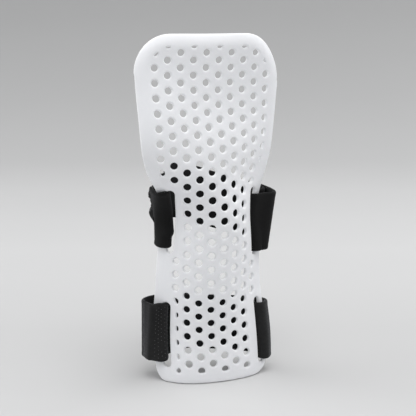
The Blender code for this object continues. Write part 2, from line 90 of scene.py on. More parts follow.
# side edges of the pattern: (height, arc position)
LEFT_EDGE = ((0, -39.3), (12, -39.5), (50, -39.5), (66, -39.0), (82, -38.3), (98, -37.2),
             (110, -36.1), (120, -35.4), (126, -35.9), (130, -37.2), (136, -39.5), (143, -41.3), (151, -42.3),
             (162, -42.7), (186, -42.7), (222, -43.2))
RIGHT_EDGE = ((0, 41.2), (12, 41.6), (50, 43.2), (90, 43.6), (112, 43.6), (128, 43.9),
              (134, 44.7), (141, 46.1), (148, 47.5), (158, 48.2), (176, 49.0), (222, 49.0))
# corners: (arc radius, height radius)
CORNER_TOP_LEFT = (20.0, 22.5)
CORNER_TOP_RIGHT = (24.0, 28.0)
CORNER_LOW_LEFT = (8.5, 9.5)
CORNER_LOW_RIGHT = (14.0, 10.0)
# strap slots: centre line from (s, t) to (s, t), round ends included
SLOTS = {
    "wrist_left": ((-28.2, 84.5), (-26.65, 127.6)),
    "wrist_right": ((34.2, 81.0), (34.2, 125.5)),
    "forearm_left": ((-30.3, 9.5), (-30.25, 52.3)),
    "forearm_right": ((35.7, 7.5), (35.7, 51.5)),
}
SLOT_MARGIN = {"wrist_left": 4.3, "wrist_right": 4.3, "forearm_left": 4.9, "forearm_right": 4.3}   # solid band kept round each slot


# ---------------------------------------------------------------- smooth interpolation
def spline_moments(k, v, level_start):
    n = len(k)
    a = np.zeros((n, n))
    r = np.zeros((n, v.shape[1]))
    h = np.diff(k)
    a[0, 0] = a[-1, -1] = 1.0
    for i in range(1, n - 1):
        a[i, i - 1], a[i, i], a[i, i + 1] = h[i - 1], 2 * (h[i - 1] + h[i]), h[i]
        r[i] = 6 * ((v[i + 1] - v[i]) / h[i] - (v[i] - v[i - 1]) / h[i - 1])
    if level_start:
        a[0, 0], a[0, 1] = 2 * h[0], h[0]
        r[0] = 6 * (v[1] - v[0]) / h[0]
    return np.linalg.solve(a, r)


def spline(k, v, m, q):
    q = np.asarray(q, float)
    i = np.clip(np.searchsorted(k, q, side="right") - 1, 0, len(k) - 2)
    h = k[i + 1] - k[i]
    a = ((k[i + 1] - q) / h)[..., None]
    b = ((q - k[i]) / h)[..., None]
    h = h[..., None]
    return a * v[i] + b * v[i + 1] + ((a**3 - a) * m[i] + (b**3 - b) * m[i + 1]) * h * h / 6


T_KNOT = np.array([s[0] for s in STATIONS], float)
T_VAL = np.array([[s[1], s[2], *s[3]] for s in STATIONS], float)
T_MOM = spline_moments(T_KNOT, T_VAL, True)
S_KNOT = np.array(ARC)
S_EYE = np.eye(len(S_KNOT))
S_MOM = spline_moments(S_KNOT, S_EYE, False)
GAUSS_X, GAUSS_W = np.polynomial.legendre.leggauss(12)
Z_AT = np.linspace(-4, 232, 473)
_slope = np.gradient(spline(T_KNOT, T_VAL, T_MOM, Z_AT)[:, :2], Z_AT, axis=0)
_dz = np.sqrt(1 - (_slope**2).sum(1))
Z_OF = np.concatenate([[0], np.cumsum((_dz[1:] + _dz[:-1]) / 2 * np.diff(Z_AT))])
Z_OF -= np.interp(0, Z_AT, Z_OF)


def bare_surface(s, t):
    """Middle of the sheet, before the lip is turned back.  Arrays in, (..., 3) out, mm."""
    s, t = np.asarray(s, float), np.asarray(t, float)
    c = spline(T_KNOT, T_VAL, T_MOM, t)
    u = np.clip((GAUSS_X + 1) / 2 * s[..., None], S_KNOT[0], S_KNOT[-1])
    phi = np.radians(np.einsum("...gk,...k->...g", spline(S_KNOT, S_EYE, S_MOM, u), c[..., 2:]))
    w = GAUSS_W / 2 * s[..., None]
    x = c[..., 0] + (np.cos(phi) * w).sum(-1)
    y = c[..., 1] + (np.sin(phi) * w).sum(-1)
    return np.stack([x, y, np.interp(t, Z_AT, Z_OF)], -1)


def outward(s, t):
    """Unit normal out of the convex face."""
    s, t = np.asarray(s, float), np.asarray(t, float)
    h = 0.4
    n = np.cross(bare_surface(s + h, t) - bare_surface(s - h, t),
                 bare_surface(s, t + h) - bare_surface(s, t - h))
    return n / np.linalg.norm(n, axis=-1, keepdims=True)


# ---------------------------------------------------------------- flat pattern
def side(table, t):
    k = np.array([p[0] for p in table], float)
    v = np.array([[p[1]] for p in table], float)
    return spline(k, v, spline_moments(k, v, False), t)[..., 0]


def arc_points(cs, ct, rs, rt, a0, a1, n):
    return [(cs + rs * math.cos(math.radians(a)), ct + rt * math.sin(math.radians(a)))
            for a in np.linspace(a0, a1, n)]


def outline(fine=1):
    """Closed outline of the pattern, anticlockwise, from the proximal rim."""
    pts = []
    rs, rt = CORNER_LOW_RIGHT
    low_r = float(side(RIGHT_EDGE, rt))
    pts += arc_points(low_r - rs, rt, rs, rt, -90, 0, 8 * fine)
    top_s, top_t = CORNER_TOP_RIGHT
    for t in np.arange(rt + 6 / fine, HEIGHT - top_t - 2 / fine, 6.0 / fine):
        pts.append((float(side(RIGHT_EDGE, t)), t))
    pts += arc_points(49.0 - top_s, HEIGHT - top_t, top_s, top_t, 0, 90, 10 * fine)
    top_s2, top_t2 = CORNER_TOP_LEFT
    for s in np.arange(49.0 - top_s - 7 / fine, -43.2 + top_s2 + 3 / fine, -7.0 / fine):
        pts.append((s, HEIGHT))
    pts += arc_points(-43.2 + top_s2, HEIGHT - top_t2, top_s2, top_t2, 90, 180, 9 * fine)
    rs, rt = CORNER_LOW_LEFT
    for t in np.arange(HEIGHT - top_t2 - 6 / fine, rt + 2 / fine, -6.0 / fine):
        pts.append((float(side(LEFT_EDGE, t)), t))
    low_l = float(side(LEFT_EDGE, rt))
    pts += arc_points(low_l + rs, rt, rs, rt, 180, 270, 7 * fine)
    a, b = pts[-1], pts[0]
    for i in range(1, 9 * fine):
        pts.append((a[0] + (b[0] - a[0]) * i / (9 * fine), 0.0))
    return np.array(pts)


OUTLINE = outline()


def nearest_on_ring(p, ring):
    a = ring
    b = np.roll(ring, -1, axis=0)
    d = b - a
    u = np.clip(((p - a) * d).sum(1) / (d * d).sum(1), 0, 1)
    q = a + d * u[:, None]
    i = int(np.argmin(((q - p) ** 2).sum(1)))
    return q[i], math.hypot(*(q[i] - p))


def edge_distance(s, t):
    """Distance of pattern points from the outline (array)."""
    p = np.stack([np.asarray(s, float), np.asarray(t, float)], -1)
    a = OUTLINE
    d = np.roll(a, -1, axis=0) - a
    rel = p[..., None, :] - a
    u = np.clip((rel * d).sum(-1) / (d * d).sum(-1), 0, 1)
    q = rel - d * u[..., None]
    return np.sqrt((q * q).sum(-1)).min(-1)


def lip(s, t):
    """How far the lip round the palm plate is turned back, mm along the inward normal."""
    t = np.asarray(t, float)
    e = np.clip(LIP - edge_distance(s, t), 0, LIP)
    strength = np.clip((t - 132) / 30, 0, 1)
    strength = strength * strength * (3 - 2 * strength)
    along_top = np.clip((t - 196) / 22, 0, 1)
    return e * e / (2 * RIM_CURL) * strength * (0.55 + 0.45 * along_top)


def sheet_mid(s, t):
    return bare_surface(s, t) - outward(s, t) * lip(s, t)[..., None]


def capsule(p, q, r, n):
    p, q = np.array(p), np.array(q)
    axis = (q - p) / np.linalg.norm(q - p)
    a0 = math.atan2(axis[1], axis[0])
    p, q = p + axis * r, q - axis * r
    pts = [q + r * np.array([math.cos(a0 + a), math.sin(a0 + a)])
           for a in np.linspace(-math.pi / 2, math.pi / 2, n)]
    length = np.linalg.norm(q - p)
    m = int(length // 6)
    left = [pts[-1] - axis * length * i / m for i in range(1, m)]
    pts2 = [p + r * np.array([math.cos(a0 + a), math.sin(a0 + a)])
            for a in np.linspace(math.pi / 2, 3 * math.pi / 2, n)]
    right = [pts2[-1] + axis * length * i / m for i in range(1, m)]
    return np.array(pts + left + pts2 + right)


def clip_half_plane(poly, point, normal):
    out = []
    for i in range(len(poly)):
        a, b = poly[i], poly[(i + 1) % len(poly)]
        da, db = np.dot(a - point, normal), np.dot(b - point, normal)
        if da >= 0:
            out.append(a)
        if (da >= 0) != (db >= 0):
            out.append(a + (b - a) * da / (da - db))
    return out


def area(poly):
    p = np.array(poly)
    q = np.roll(p, -1, axis=0)
    return 0.5 * float((p[:, 0] * q[:, 1] - q[:, 0] * p[:, 1]).sum())


def inside(p, poly):
    q = np.roll(poly, -1, axis=0)
    hit = ((poly[:, 1] > p[1]) != (q[:, 1] > p[1]))
    x = poly[:, 0] + (p[1] - poly[:, 1]) * (q[:, 0] - poly[:, 0]) / np.where(q[:, 1] == poly[:, 1], 1, q[:, 1] - poly[:, 1])
    return bool((hit & (p[0] < x)).sum() % 2)


def margin(q):
    """Solid border kept along the outline at the outline point q."""
    s, t = q
    if t > HEIGHT - 4 and -25 < s < 26:
        return 6.6 if s > -20 else 7.0
    if t > 192:
        return 7.4 if s > 24 else 7.9
    if t < 4:
        return 6.9
    if s > 0:
        return 8.6 if t > 25 else 9.1
    return 8.0 if t > 120 else 9.6


def holes():
    """Every hole of the hexagonal grid, trimmed to the solid borders."""
    column = PITCH * math.sqrt(3) / 2
    found = []
    for k in range(-1, 11):
        s = (k - 4) * column
        for j in range(-2, 26):
            t = TOP_ROW - PITCH * (j + (0.5 if k % 2 else 0.0))
            c = np.array([s, t])
            r = float(np.interp(t, [h[0] for h in HOLE_D], [h[1] for h in HOLE_D])) / 2
            if not inside(c, OUTLINE):
                continue
            if s < -30 and t < 120:
                continue
            poly = [c + r * np.array([math.cos(a), math.sin(a)])
                    for a in (np.arange(HOLE_SIDES) + 0.5) * 2 * math.pi / HOLE_SIDES]
            fine = [c + r * np.array([math.cos(a), math.sin(a)])
                    for a in (np.arange(FINE_SIDES) + 0.5) * 2 * math.pi / FINE_SIDES]
            q, d = nearest_on_ring(c, OUTLINE)
            n = (c - q) / d
            keep = margin(q)
            if d < keep + r:
                poly = clip_half_plane(poly, q + n * keep, n)
                fine = clip_half_plane(fine, q + n * keep, n)
            for name, (p0, p1) in SLOTS.items():
                ring, band = capsule(p0, p1, SLOT_W / 2, 7), SLOT_MARGIN[name]
                if inside(c, ring):
                    poly = []
                    break
                q, d = nearest_on_ring(c, ring)
                if d < band + r and len(poly) > 2:
                    n = (c - q) / d
                    poly = clip_half_plane(poly, q + n * band, n)
                    fine = clip_half_plane(fine, q + n * band, n)
            if len(poly) < 3 or area(poly) < 1.2:
                continue
            if len(fine) > 2:
                found.append(np.array(fine))
    return found


FINE_OUTLINE = outline(5)


# ---------------------------------------------------------------- rings and fillets
def resample(ring, step, corner_passes=2):
    """Rounds a ring's corners a little and spaces its points evenly."""
    for _ in range(corner_passes):
        nxt = np.roll(ring, -1, axis=0)
        ring = np.stack([ring * 0.75 + nxt * 0.25, ring * 0.25 + nxt * 0.75], 1).reshape(-1, 2)
    closed = np.vstack([ring, ring[:1]])
    d = np.concatenate([[0], np.cumsum(np.linalg.norm(np.diff(closed, axis=0), axis=1))])
    n = max(8, int(round(d[-1] / step)))
    q = np.arange(n) * d[-1] / n
    return np.stack([np.interp(q, d, closed[:, 0]), np.interp(q, d, closed[:, 1])], 1)


def soft_ring(r):
    """A hole's ring; the corners left by trimming are rounded off."""
    q = resample(r, 0.55, 2)
    d = np.ptp(r, axis=0)
    if min(d) < 0.93 * max(d) or abs(area(r)) < 0.9 * math.pi * max(d) ** 2 / 4:
        want = abs(area(q))
        for _ in range(4):
            q = q * 0.5 + (np.roll(q, 1, axis=0) + np.roll(q, -1, axis=0)) * 0.25
        c = q.mean(0)
        q = c + (q - c) * math.sqrt(want / abs(area(q)))
        q = resample(q, 0.55, 0)
    return q


def ring_out(ring):
    """Unit normals pointing out of an anticlockwise ring."""
    d = np.roll(ring, -1, axis=0) - np.roll(ring, 1, axis=0)
    n = np.stack([d[:, 1], -d[:, 0]], 1)
    return n / np.linalg.norm(n, axis=1, keepdims=True)


def frame_at(q):
    """Middle of the sheet and unit normal of the finished sheet at pattern points q."""
    s, t = q[:, 0], q[:, 1]
    h = 0.25
    p = sheet_mid(s, t)
    n = np.cross(sheet_mid(s + h, t) - sheet_mid(s - h, t), sheet_mid(s, t + h) - sheet_mid(s, t - h))
    n /= np.linalg.norm(n, axis=1, keepdims=True)
    return p, n


def build_shell_mesh():
    half = SHEET / 2
    rings = [(resample(FINE_OUTLINE, 1.1, 0), -1, 1.1)]
    # the soft sheet's left slots stand a little straighter than the solid's
    soft = dict(SLOTS, wrist_left=((-28.2, 84.5), (-25.9, 127.2)), forearm_left=((-30.3, 9.5), (-29.5, 51.5)))
    rings += [(resample(capsule(a, b, SLOT_W / 2, 25), 0.8, 0), 1, 0.9) for a, b in soft.values()]
    rings += [(soft_ring(r), 1, 0.95) for r in holes()]
    arc_n = 5
    pos, nor, faces = [], [], []
    flat_in, flat_edges, flat_ids = [], [], []
    count = 0
    offset_rings = []
    for ring, sign, f in rings:
        if area(ring) < 0:
            ring = ring[::-1]
        m = ring_out(ring) * sign
        levels = []
        angles = np.linspace(0, math.pi / 2, arc_n + 1)
        prof = [(f - f * math.sin(a), half - f + f * math.cos(a), math.sin(a), math.cos(a)) for a in angles]
        if half - f > 0.2:
            prof.append((0.0, 0.0, 1.0, 0.0))
        prof += [(d, -h, x, -y) for d, h, x, y in [(f - f * math.sin(a), half - f + f * math.cos(a), math.sin(a), math.cos(a)) for a in angles[::-1]]]
        cache = {}
        for d, h, nx, ny in prof:
            key = round(d, 6)
            if key not in cache:
                q = ring + m * d
                p, n = frame_at(q)
                e = 0.2
                g = sheet_mid(q[:, 0] + m[:, 0] * e, q[:, 1] + m[:, 1] * e) - sheet_mid(q[:, 0] - m[:, 0] * e, q[:, 1] - m[:, 1] * e)
                g -= n * (g * n).sum(1, keepdims=True)
                g /= np.linalg.norm(g, axis=1, keepdims=True)
                cache[key] = (q, p, n, g)
            q, p, n, g = cache[key]
            pos.append(p + n * h)
            nor.append(n * ny - g * nx)
            levels.append(count)
            count += len(ring)
        k = len(ring)
        for a, b in zip(levels[:-1], levels[1:]):
            for i in range(k):
                j = (i + 1) % k
                quad = (a + i, b + i, b + j, a + j)
                faces.append(quad[::-1] if sign > 0 else quad)
        top_q = ring + m * f
        offset_rings.append(top_q)
        n0 = len(flat_in)
        flat_in += [tuple(v) for v in top_q]
        flat_edges += [(n0 + i, n0 + (i + 1) % k) for i in range(k)]
        flat_ids += [(levels[0] + i, levels[-1] + i) for i in range(k)]
    # points inside the sheet keep the curvature smooth
    allp = np.array(flat_in)
    grid = []
    for r, t in enumerate(np.arange(1.0, HEIGHT, 1.75)):
        for s in np.arange(-50, 56, 2.0):
            grid.append((s + (r % 2), t))
    grid = np.array(grid)
    keep = np.ones(len(grid), bool)
    for i in range(0, len(grid), 400):
        d = np.linalg.norm(grid[i:i + 400, None] - allp[None], axis=2).min(1)
        keep[i:i + 400] = d > 1.0
    grid = grid[keep]
    outer = offset_rings[0]
    ok = in_ring(grid, outer)
    for r in offset_rings[1:]:
        near = (np.abs(grid - r.mean(0)).max(1) < 40) if len(r) > 60 else (np.abs(grid - r.mean(0)).max(1) < 5)
        idx = np.where(near & ok)[0]
        if len(idx):
            ok[idx] &= ~in_ring(grid[idx], r)
    grid = grid[ok]
    verts2 = [Vector(v) for v in flat_in] + [Vector(v) for v in grid]
    co, _, tri, orig, _, _ = delaunay_2d_cdt(verts2, flat_edges, [], 0, 1e-6)
    co = np.array([[v.x, v.y] for v in co])
    tri = np.array([list(f) for f in tri])
    c = co[tri].mean(1)
    ok = in_ring(c, outer)
    for r in offset_rings[1:]:
        lo, hi = r.min(0), r.max(0)
        idx = np.where(ok & (c[:, 0] > lo[0]) & (c[:, 0] < hi[0]) & (c[:, 1] > lo[1]) & (c[:, 1] < hi[1]))[0]
        if len(idx):
            ok[idx] &= ~in_ring(c[idx], r)
    tri = tri[ok]
    # anticlockwise in the pattern
    e1, e2 = co[tri[:, 1]] - co[tri[:, 0]], co[tri[:, 2]] - co[tri[:, 0]]
    flip = (e1[:, 0] * e2[:, 1] - e1[:, 1] * e2[:, 0]) < 0
    tri[flip] = tri[flip][:, ::-1]
    top_id = np.full(len(co), -1)
    bot_id = np.full(len(co), -1)
    fresh = []
    for i, o in enumerate(orig):
        ring_src = [k for k in o if k < len(flat_ids)]
        if ring_src:
            top_id[i], bot_id[i] = flat_ids[ring_src[0]]
        else:
            fresh.append(i)
    fresh = np.array(fresh)
    p, n = frame_at(co[fresh])
    pos += [p + n * half, p - n * half]
    nor += [n, -n]
    top_id[fresh] = count + np.arange(len(fresh))
    bot_id[fresh] = count + len(fresh) + np.arange(len(fresh))
    # the pattern's s x t is the outward normal, so these triangles face outward
    faces += [tuple(top_id[list(f)]) for f in tri]
    faces += [tuple(bot_id[list(f[::-1])]) for f in tri]
    return np.vstack(pos) * MM, np.vstack(nor), faces


def in_ring(p, poly):
    q = np.roll(poly, -1, axis=0)
    out = np.zeros(len(p), bool)
    for i in range(0, len(p), 4000):
        pp = p[i:i + 4000]
        hit = ((poly[None, :, 1] > pp[:, None, 1]) != (q[None, :, 1] > pp[:, None, 1]))
        dy = np.where(q[:, 1] == poly[:, 1], 1, q[:, 1] - poly[:, 1])
        x = poly[None, :, 0] + (pp[:, None, 1] - poly[None, :, 1]) * ((q[:, 0] - poly[:, 0]) / dy)[None]
        out[i:i + 4000] = (hit & (pp[:, None, 0] < x)).sum(1) % 2 == 1
    return out


# ---------------------------------------------------------------- materials
class Nodes:
    """Short hand for building a node material."""

    def __init__(self, name):
        self.m = bpy.data.materials.new(name)
        self.m.use_nodes = True
        self.t = self.m.node_tree
        self.b = self.t.nodes["Principled BSDF"]

    def new(self, kind, **inputs):
        n = self.t.nodes.new("ShaderNode" + kind)
        for k, v in inputs.items():
            if k in ("operation", "data_type", "blend_type", "noise_dimensions", "feature", "wave_type",
                     "bands_direction", "wave_profile", "interpolation_type", "clamp", "distance_metric"):
                setattr(n, k, v)
        return n

    def link(self, a, b):
        self.t.links.new(a, b)

    def math(self, op, a, b=None, c=None):
        n = self.new("Math", operation=op)
        for i, v in enumerate((a, b, c)):
            if v is None:
                continue
            if isinstance(v, (int, float)):
                n.inputs[i].default_value = v
            else:
                self.link(v, n.inputs[i])
        return n.outputs[0]

    def noise(self, vec, scale, detail=3.0, rough=0.5):
        n = self.new("TexNoise")
        n.inputs["Scale"].default_value = scale
        n.inputs["Detail"].default_value = detail
        n.inputs["Roughness"].default_value = rough
        self.link(vec, n.inputs["Vector"])
        return n.outputs["Fac"]

    def ramp(self, fac, stops):
        n = self.new("ValToRGB")
        e = n.color_ramp.elements
        while len(e) < len(stops):
            e.new(0.5)
        for el, (p, c) in zip(e, stops):
            el.position = p
            el.color = (*c, 1)
        self.link(fac, n.inputs["Fac"])
        return n.outputs["Color"]

    def bump(self, height, distance, strength=1.0, normal=None):
        n = self.new("Bump")
        n.inputs["Strength"].default_value = strength
        n.inputs["Distance"].default_value = distance
        self.link(height, n.inputs["Height"])
        if normal is not None:
            self.link(normal, n.inputs["Normal"])
        return n.outputs["Normal"]


def grey(v, tint=(1.0, 1.0, 1.0)):
    return tuple(v * c for c in tint)


def shell_material():
    k = Nodes("shell_moulded_plastic")
    tc = k.new("TexCoord").outputs["Object"]
    broad = k.noise(tc, 22.0, 3.0)
    fine = k.noise(tc, 900.0, 2.0)
    mix = k.math("ADD", k.math("MULTIPLY", broad, 0.75), k.math("MULTIPLY", fine, 0.25))
    colour = k.ramp(mix, [(0.30, SHELL_DARK), (0.55, SHELL_MID), (0.75, SHELL_LIGHT)])
    k.link(colour, k.b.inputs["Base Color"])
    rough = k.math("ADD", k.math("MULTIPLY", k.noise(tc, 120.0, 3.0), 0.16), 0.46)
    k.link(rough, k.b.inputs["Roughness"])
    k.b.inputs["IOR"].default_value = 1.49
    k.b.inputs["Specular IOR Level"].default_value = 0.32
    k.b.inputs["Subsurface Weight"].default_value = 0.6
    k.b.inputs["Subsurface Radius"].default_value = (1.0, 1.0, 1.0)
    k.b.inputs["Subsurface Scale"].default_value = 0.0035
    peel = k.noise(tc, 260.0, 2.0)
    grain = k.noise(tc, 1700.0, 2.0)
    n1 = k.bump(peel, 0.00006, 0.5)
    n2 = k.bump(grain, 0.00003, 0.45, n1)
    k.link(n2, k.b.inputs["Normal"])
    return k.m


SHELL_DARK, SHELL_MID, SHELL_LIGHT = (0.825, 0.832, 0.855), (0.85, 0.857, 0.878), (0.875, 0.88, 0.898)


def fabric_material(name, dark, light, weave_u, weave_v, relief, sheen, rib=0.0, speck=0.0, speck_colour=0.12):
    """Woven or brushed black webbing.  UV is mm along and across the strap."""
    k = Nodes(name)
    uv = k.new("UVMap").outputs["UV"]
    sep = k.new("SeparateXYZ")
    k.link(uv, sep.inputs[0])
    u, v = sep.outputs[0], sep.outputs[1]
    tc = k.new("TexCoord").outputs["Object"]
    # two sets of yarns, over and under
    wu = k.math("SINE", k.math("MULTIPLY", u, 2 * math.pi / weave_u))
    wv = k.math("SINE", k.math("MULTIPLY", v, 2 * math.pi / weave_v))
    over = k.math("MULTIPLY", wu, wv)
    yarn = k.math("ADD", k.math("MULTIPLY", over, 0.25), 0.5)
    fibre = k.noise(tc, 2600.0, 3.0, 0.65)
    tuft = k.noise(tc, 620.0, 3.0, 0.6)
    patch_ = k.noise(tc, 70.0, 3.0)
    h = k.math("ADD", k.math("MULTIPLY", yarn, 0.45), k.math("MULTIPLY", fibre, 0.30))
    h = k.math("ADD", h, k.math("MULTIPLY", tuft, 0.35))
    if rib:
        r = k.math("SINE", k.math("MULTIPLY", v, 2 * math.pi / rib))
        h = k.math("ADD", h, k.math("MULTIPLY", r, 0.10))
    normal = k.bump(h, relief, 0.9)
    k.link(normal, k.b.inputs["Normal"])
    mix = k.math("ADD", k.math("MULTIPLY", fibre, 0.45), k.math("MULTIPLY", tuft, 0.30))
    mix = k.math("ADD", mix, k.math("MULTIPLY", patch_, 0.15))
    mix = k.math("ADD", mix, k.math("MULTIPLY", yarn, 0.12))
    colour = k.ramp(mix, [(0.38, grey(dark, (0.98, 0.98, 1.02))), (0.55, grey((dark + light) / 2)),
                          (0.70, grey(light, (1.0, 1.0, 1.01)))])
    k.link(colour, k.b.inputs["Base Color"])
    rough = k.math("ADD", k.math("MULTIPLY", tuft, 0.2), 0.72)
    k.link(rough, k.b.inputs["Roughness"])
    k.b.inputs["Specular IOR Level"].default_value = 0.18
    k.b.inputs["Sheen Weight"].default_value = sheen
    k.b.inputs["Sheen Roughness"].default_value = 0.45
    k.b.inputs["Sheen Tint"].default_value = (0.75, 0.76, 0.8, 1)
    return k.m


def thread_material():
    k = Nodes("polyester_thread")
    tc = k.new("TexCoord").outputs["Object"]
    f = k.noise(tc, 3000.0, 2.0)
    k.link(k.ramp(f, [(0.35, grey(0.02)), (0.65, grey(0.06))]), k.b.inputs["Base Color"])
    k.link(k.math("ADD", k.math("MULTIPLY", f, 0.2), 0.42), k.b.inputs["Roughness"])
    k.link(k.bump(f, 0.00008, 0.8), k.b.inputs["Normal"])
    return k.m


# ---------------------------------------------------------------- mesh helpers
def add_mesh(name, verts, faces, mat, normals=None, uv=None):
    me = bpy.data.meshes.new(name)
    me.from_pydata([tuple(v) for v in verts], [], [tuple(int(i) for i in f) for f in faces])
    me.materials.append(mat)
    me.shade_smooth()
    if uv is not None:
        layer = me.uv_layers.new(name="UVMap")
        loops = np.zeros(len(me.loops), int)
        me.loops.foreach_get("vertex_index", loops)
        layer.data.foreach_set("uv", np.asarray(uv)[loops].astype(np.float32).ravel())
    if normals is not None:
        me.normals_split_custom_set_from_vertices([tuple(v) for v in normals])
    ob = bpy.data.objects.new(name, me)
    bpy.context.scene.collection.objects.link(ob)
    return ob


def value_noise(x, y, seed, cell):
    """Smooth seeded noise in -1..1 over arrays x, y (mm), cell mm between its knots."""
    r = np.random.default_rng(seed).uniform(-1, 1, (128, 128))
    gx, gy = np.asarray(x) / cell + 31.3, np.asarray(y) / cell + 57.7
    ix, iy = np.floor(gx).astype(int), np.floor(gy).astype(int)
    fx, fy = gx - ix, gy - iy
    fx, fy = fx * fx * (3 - 2 * fx), fy * fy * (3 - 2 * fy)
    a, b = r[ix % 128, iy % 128], r[(ix + 1) % 128, iy % 128]
    c, d = r[ix % 128, (iy + 1) % 128], r[(ix + 1) % 128, (iy + 1) % 128]
    return (a * (1 - fx) + b * fx) * (1 - fy) + (c * (1 - fx) + d * fx) * fy


# ---------------------------------------------------------------- straps
# centre heights of the straps where they pass the left and right slots
WL, WR = 106.4, 101.6
FL, FR = 32.3, 28.6

# wrist strap: sewn anchor end inside the right, out through the right slot, round a
# slack loop, across the back, in at the left slot from behind and round the left strip
WRIST_ROUTE = (
    ("free", 33.4, 43.4, 102.4, 0.08), ("free", 37.6, 38.4, 102.0, 0.10),
    ("free", 38.9, 33.0, 101.6, 0.12), ("free", 36.4, 27.4, WR, 0.10),
    ("near", 44.5, -4.6, WR), ("near", 40.2, -4.0, WR), ("near", 36.9, -3.5, WR),
    ("near", 34.9, -2.0, WR), ("near", 34.3, 0.0, WR), ("near", 34.9, 2.0, WR),
    ("near", 36.9, 3.6, WR),
    ("free", 35.2, 12.4, WR, 0.06), ("free", 39.7, 13.6, WR, 0.12),
    ("free", 41.5, 17.0, WR, 0.14), ("free", 42.0, 24.0, WR, 0.14),
    ("free", 41.9, 33.0, 101.6, 0.12), ("free", 38.6, 42.0, 102.4, 0.08),
    ("bent", 30.0, 49.0, 104.0, (0.03, 0.0), (0.06, 0.0)),
    ("bent", 18.0, 52.4, 107.8, (0.0, 0.0), (0.18, 0.0)),
    ("bent", 5.0, 53.0, 112.4, (0.0, 0.0), (0.26, 0.0)),
    ("bent", -8.0, 51.4, 116.2, (0.0, 0.0), (0.26, 0.0)),
    ("bent", -17.6, 46.8, 117.2, (0.0, 0.0), (0.16, 0.0)), ("free", -23.4, 39.6, 115.0, 0.0),
    ("free", -25.2, 31.0, 110.8, 0.0),
    ("wrist_left", -10.0, -4.8, 107.0), ("wrist_left", -6.2, -4.4, WL),
    ("wrist_left", -2.6, -3.8, WL), ("wrist_left", -0.5, -2.1, WL), ("wrist_left", 0.2, 0.0, WL),
    ("wrist_left", -0.5, 2.1, WL), ("wrist_left", -2.6, 3.5, WL),
    ("bent", -33.6, 17.0, WL, (-0.1030, -0.0062), (-0.3370, -0.0144)),
    ("bent", -33.9, 21.2, WL, (-0.1130, -0.0057), (-0.1450, -0.0045)),
)
# its hook tab: starts behind the left strip and lies back along the strap
WRIST_TAB_ROUTE = (
    ("free", -34.9, 24.4, 113.2, -0.05), ("free", -35.6, 29.2, 114.2, -0.03),
    ("free", -34.5, 35.2, 115.0, 0.0), ("free", -29.6, 43.3, 116.6, 0.0),
    ("bent", -21.8, 50.3, 117.4, (0.0, 0.0), (0.14, 0.0)),
    ("bent", -12.4, 54.4, 117.4, (0.0, 0.0), (0.24, 0.0)),
)
FOREARM_ROUTE = (
    ("free", 20.5, 27.4, 29.0, 0.0), ("free", 26.0, 25.6, 28.8, 0.0), ("free", 30.6, 22.6, 28.7, 0.0),
    ("near", 41.5, -5.2, FR), ("near", 38.6, -4.0, FR),
    ("near", 36.6, -2.3, FR), ("near", 35.8, 0.0, FR), ("near", 36.4, 2.1, FR),
    ("near", 38.6, 3.5, FR), ("right_edge", -1.2, 3.4, FR),
    ("right_edge", 2.5, 1.9, FR), ("right_edge", 4.1, -1.6, FR), ("right_edge", 2.8, -6.6, FR),
    ("free", 32.6, 26.2, 28.5, 0.0), ("free", 24.0, 30.0, 28.6, 0.0), ("free", 12.0, 31.8, 29.3, 0.0),
    ("free", -2.0, 32.2, 30.6, 0.0), ("free", -13.0, 30.4, 32.2, 0.0), ("free", -20.4, 26.0, FL, 0.0),
    ("near", -36.0, -6.4, FL), ("near", -33.0, -3.9, FL), ("near", -31.2, -2.2, FL),
    ("near", -30.3, 0.0, FL), ("near", -31.0, 2.1, FL), ("near", -33.2, 3.5, FL),
    ("free", -38.4, 12.8, FL, 0.05), ("free", -39.5, 14.0, FL, 0.06), ("free", -41.9, 19.2, FL, 0.0),
)
FOREARM_TAB_ROUTE = (
    ("free", -42.7, 22.2, FL, 0.0), ("free", -41.4, 26.4, FL, 0.0), ("free", -36.6, 30.0, FL, 0.0),
    ("free", -27.4, 33.8, FL, 0.0), ("free", -16.0, 36.0, 32.0, 0.0), ("free", -5.0, 36.6, 31.2, 0.0),
)



# the fabric's soft shape where it is folded round the left strips
WRIST_ROUTE = WRIST_ROUTE[:17] + (
    ("bent", 18.0, 52.4, 107.4, (0.0, 0.0), (0.18, 0.0)), ("bent", 5.0, 53.0, 111.7, (0.0, 0.0), (0.26, 0.0)),
    ("bent", -8.0, 51.4, 116.2, (0.0, 0.0), (0.26, 0.0)), ("bent", -17.6, 46.8, 119.2, (0.0, 0.0), (0.16, 0.0)),
    ("free", -23.4, 39.6, 117.2, 0.0), ("free", -25.2, 31.0, 113.2, 0.0),
    ("wrist_left", -10.0, -3.9, 109.0), ("wrist_left", -6.2, -3.3, WL), ("wrist_left", -2.9, -2.9, WL),
    ("wrist_left", -1.0, -1.7, WL), ("wrist_left", -0.3, 0.0, WL), ("wrist_left", -0.7, 2.0, WL),
    ("wrist_left", -2.6, 3.4, WL),
    ("bent", -33.4, 16.8, WL, (-0.087, -0.0032), (-0.305, -0.0122)),
    ("bent", -33.6, 21.2, WL, (-0.096, -0.0039), (-0.145, -0.0045)))
FOREARM_ROUTE = FOREARM_ROUTE[:-3] + (
    ("free", -37.6, 12.5, FL, 0.045), ("free", -38.7, 13.0, FL, 0.050),
    ("free", -39.5, 14.3, FL, 0.050), ("free", -41.4, 19.2, FL, 0.010))
